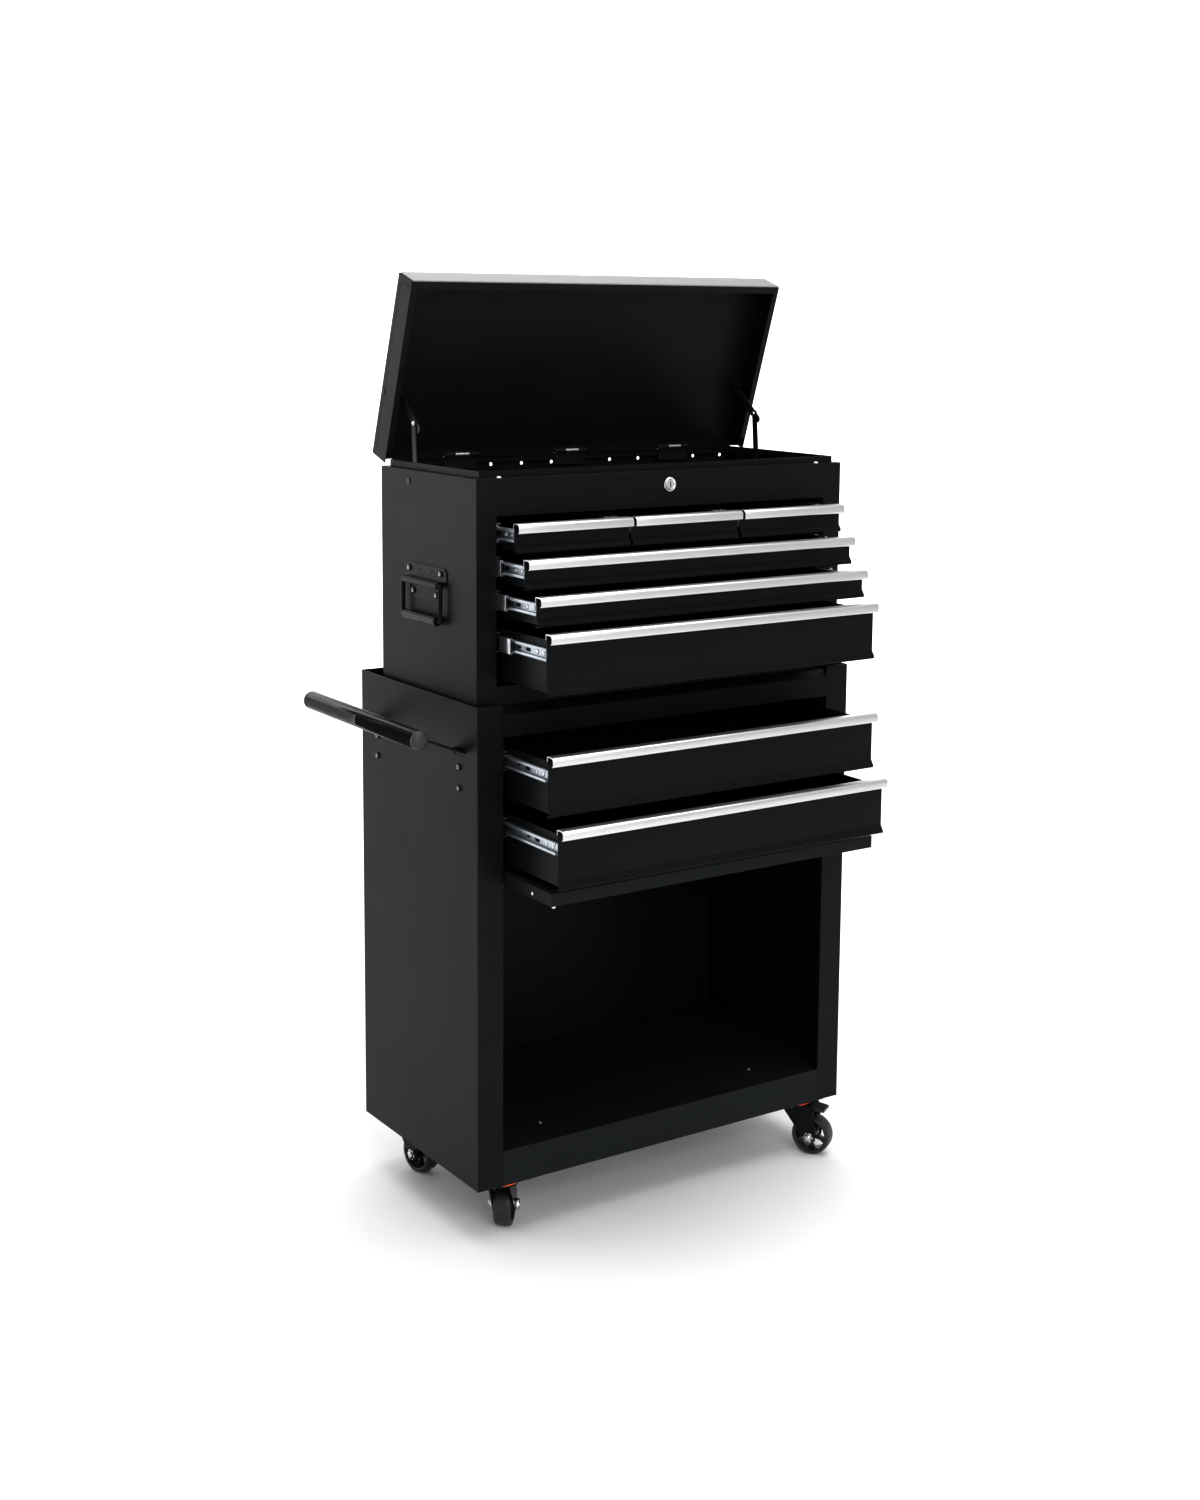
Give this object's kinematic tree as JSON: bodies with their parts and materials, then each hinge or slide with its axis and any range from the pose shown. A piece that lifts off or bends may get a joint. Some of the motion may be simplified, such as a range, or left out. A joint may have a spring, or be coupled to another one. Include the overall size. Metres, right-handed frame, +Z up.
{
  "type": "rolling tool chest",
  "caption": "Rolling steel tool chest: a lidded top chest on a cabinet with ball-slide drawers, a slide-in door compartment, side handles and swivel casters.",
  "frame": {"origin": "centre of the lower cabinet's underside, which the caster plates are bolted to", "axes": "+Z up, +X towards the right-hand side seen from the front, the drawers open towards -Y"},
  "size_m": [0.714, 0.4621, 1.2837],
  "materials": {
    "black_paint": "semi-gloss black powder coat",
    "bright_trim": "satin anodised",
    "zinc_slide": "bright zinc plate",
    "wheel": "glossy black",
    "black_plastic": "moulded black",
    "caster_frame": "gloss black",
    "caster_plate": "black, with an orange seal ring",
    "lock": "bright nickel",
    "bail": "black with a ribbed grip",
    "handle_plate": "satin black",
    "push_tube": "satin black tube with plastic end caps",
    "fastener": "blackened steel",
    "hinge": "black with bright pins",
    "stay": "black",
    "door_pin": "bright steel"
  },
  "bodies": {
    "cabinet": {"side_panels": "black_paint", "back_panel": "black_paint", "floor_pan": "black_paint", "top_tray": "black_paint", "chest_wrap": "black_paint", "chest_front": "black_paint", "chest_decks": "black_paint", "slide_posts": "black_paint", "slide_channels": "zinc_slide", "door_rails": "black_paint", "hinge_leaves_body": "hinge", "lock_barrel": "lock", "carry_plates": "handle_plate", "push_handle": "push_tube", "caster_tops": "caster_plate", "fasteners": "fastener"},
    "lid": {"lid_shell": "black_paint", "lid_trim": "bright_trim", "hinge_leaves_lid": "hinge"},
    "stay_lower": {"stay_lower_arms": "stay"},
    "stay_upper": {"stay_upper_arms": "stay"},
    "lock_plug": {"lock_plug": "lock"},
    "carry_bail_left": {"carry_bail_left": "bail"},
    "carry_bail_right": {"carry_bail_right": "bail"},
    "door_carriage": {"door_pins": "door_pin"},
    "door": {"door_panel": "black_paint"},
    "drawer_small_left": {"drawer_box_small_left": "black_paint", "drawer_pull_small_left": "bright_trim", "drawer_rails_small_left": "zinc_slide"},
    "drawer_small_middle": {"drawer_box_small_middle": "black_paint", "drawer_pull_small_middle": "bright_trim", "drawer_rails_small_middle": "zinc_slide"},
    "drawer_small_right": {"drawer_box_small_right": "black_paint", "drawer_pull_small_right": "bright_trim", "drawer_rails_small_right": "zinc_slide"},
    "drawer_wide_upper": {"drawer_box_wide_upper": "black_paint", "drawer_pull_wide_upper": "bright_trim", "drawer_rails_wide_upper": "zinc_slide"},
    "drawer_wide_middle": {"drawer_box_wide_middle": "black_paint", "drawer_pull_wide_middle": "bright_trim", "drawer_rails_wide_middle": "zinc_slide"},
    "drawer_wide_deep": {"drawer_box_wide_deep": "black_paint", "drawer_pull_wide_deep": "bright_trim", "drawer_rails_wide_deep": "zinc_slide"},
    "drawer_lower_upper": {"drawer_box_lower_upper": "black_paint", "drawer_pull_lower_upper": "bright_trim", "drawer_rails_lower_upper": "zinc_slide"},
    "drawer_lower_bottom": {"drawer_box_lower_bottom": "black_paint", "drawer_pull_lower_bottom": "bright_trim", "drawer_rails_lower_bottom": "zinc_slide"},
    "fork_front_left": {"caster_fork_front_left": "caster_frame"},
    "wheel_front_left": {"caster_wheel_front_left": "wheel"},
    "brake_front_left": {"brake_pedal_front_left": "black_plastic"},
    "fork_front_right": {"caster_fork_front_right": "caster_frame"},
    "wheel_front_right": {"caster_wheel_front_right": "wheel"},
    "brake_front_right": {"brake_pedal_front_right": "black_plastic"},
    "fork_rear_left": {"caster_fork_rear_left": "caster_frame"},
    "wheel_rear_left": {"caster_wheel_rear_left": "wheel"},
    "fork_rear_right": {"caster_fork_rear_right": "caster_frame"},
    "wheel_rear_right": {"caster_wheel_rear_right": "wheel"}
  },
  "joints": [
    {"name": "lid_hinge", "type": "hinge", "parent": "cabinet", "child": "lid", "pos_m": [0, 0.098, 0.953], "axis": [1, 0, 0], "range_deg": [0, 71.5]},
    {"name": "stay_lower_hinge", "type": "hinge", "parent": "cabinet", "child": "stay_lower", "pos_m": [0, 0.0344, 0.926], "axis": [1, 0, 0], "range_deg": [0, 87.13]},
    {"name": "stay_upper_hinge", "type": "hinge", "parent": "lid", "child": "stay_upper", "pos_m": [0, 0.0893, 1.0425], "axis": [1, 0, 0], "range_deg": [-76.05, 0]},
    {"name": "lock_turn", "type": "hinge", "parent": "cabinet", "child": "lock_plug", "pos_m": [0, -0.1451, 0.922], "axis": [0, 1, 0], "range_deg": [0, 90]},
    {"name": "carry_bail_left_hinge", "type": "hinge", "parent": "cabinet", "child": "carry_bail_left", "pos_m": [-0.307, -0.0125, 0.795], "axis": [0, 1, 0], "range_deg": [0, 95]},
    {"name": "carry_bail_right_hinge", "type": "hinge", "parent": "cabinet", "child": "carry_bail_right", "pos_m": [0.307, -0.0125, 0.795], "axis": [0, -1, 0], "range_deg": [0, 95]},
    {"name": "door_slide", "type": "slide", "parent": "cabinet", "child": "door_carriage", "axis": [0, -1, 0], "range_m": [0, 0.2435]},
    {"name": "door_flip", "type": "hinge", "parent": "door_carriage", "child": "door", "pos_m": [0, 0.094, 0.4155], "axis": [1, 0, 0], "range_deg": [0, 90]},
    {"name": "drawer_small_left_slide", "type": "slide", "parent": "cabinet", "child": "drawer_small_left", "axis": [0, -1, 0], "range_m": [-0.0382, 0.1118]},
    {"name": "drawer_small_middle_slide", "type": "slide", "parent": "cabinet", "child": "drawer_small_middle", "axis": [0, -1, 0], "range_m": [-0.0382, 0.1118]},
    {"name": "drawer_small_right_slide", "type": "slide", "parent": "cabinet", "child": "drawer_small_right", "axis": [0, -1, 0], "range_m": [-0.0382, 0.1118]},
    {"name": "drawer_wide_upper_slide", "type": "slide", "parent": "cabinet", "child": "drawer_wide_upper", "axis": [0, -1, 0], "range_m": [-0.063, 0.087]},
    {"name": "drawer_wide_middle_slide", "type": "slide", "parent": "cabinet", "child": "drawer_wide_middle", "axis": [0, -1, 0], "range_m": [-0.0913, 0.0587]},
    {"name": "drawer_wide_deep_slide", "type": "slide", "parent": "cabinet", "child": "drawer_wide_deep", "axis": [0, -1, 0], "range_m": [-0.1157, 0.0343]},
    {"name": "drawer_lower_upper_slide", "type": "slide", "parent": "cabinet", "child": "drawer_lower_upper", "axis": [0, -1, 0], "range_m": [-0.1033, 0.0867]},
    {"name": "drawer_lower_bottom_slide", "type": "slide", "parent": "cabinet", "child": "drawer_lower_bottom", "axis": [0, -1, 0], "range_m": [-0.1271, 0.0629]},
    {"name": "swivel_front_left", "type": "hinge", "parent": "cabinet", "child": "fork_front_left", "pos_m": [-0.254, -0.1305, -0.0069], "axis": [0, 0, 1], "continuous": true},
    {"name": "roll_front_left", "type": "hinge", "parent": "fork_front_left", "child": "wheel_front_left", "pos_m": [-0.236, -0.10905, -0.053], "axis": [-0.766, 0.6428, 0], "continuous": true},
    {"name": "brake_front_left_hinge", "type": "hinge", "parent": "fork_front_left", "child": "brake_front_left", "pos_m": [-0.23664, -0.10982, -0.0109], "axis": [-0.766, 0.6428, 0], "range_deg": [0, 15]},
    {"name": "swivel_front_right", "type": "hinge", "parent": "cabinet", "child": "fork_front_right", "pos_m": [0.254, -0.1305, -0.0069], "axis": [0, 0, 1], "continuous": true},
    {"name": "roll_front_right", "type": "hinge", "parent": "fork_front_right", "child": "wheel_front_right", "pos_m": [0.26842, -0.1545, -0.053], "axis": [0.8572, 0.515, 0], "continuous": true},
    {"name": "brake_front_right_hinge", "type": "hinge", "parent": "fork_front_right", "child": "brake_front_right", "pos_m": [0.26791, -0.15364, -0.0109], "axis": [0.8572, 0.515, 0], "range_deg": [0, 15]},
    {"name": "swivel_rear_left", "type": "hinge", "parent": "cabinet", "child": "fork_rear_left", "pos_m": [-0.254, 0.1305, -0.0069], "axis": [0, 0, 1], "continuous": true},
    {"name": "roll_rear_left", "type": "hinge", "parent": "fork_rear_left", "child": "wheel_rear_left", "pos_m": [-0.24914, 0.10293, -0.053], "axis": [0.9848, 0.1736, 0], "continuous": true},
    {"name": "swivel_rear_right", "type": "hinge", "parent": "cabinet", "child": "fork_rear_right", "pos_m": [0.254, 0.1305, -0.0069], "axis": [0, 0, 1], "continuous": true},
    {"name": "roll_rear_right", "type": "hinge", "parent": "fork_rear_right", "child": "wheel_rear_right", "pos_m": [0.24914, 0.10293, -0.053], "axis": [0.9848, -0.1736, 0], "continuous": true}
  ],
  "couplings": [
    {"joint": "stay_lower_hinge", "follows": "lid_hinge", "ratio": 1.2144},
    {"joint": "stay_upper_hinge", "follows": "lid_hinge", "ratio": -1.0594}
  ]
}
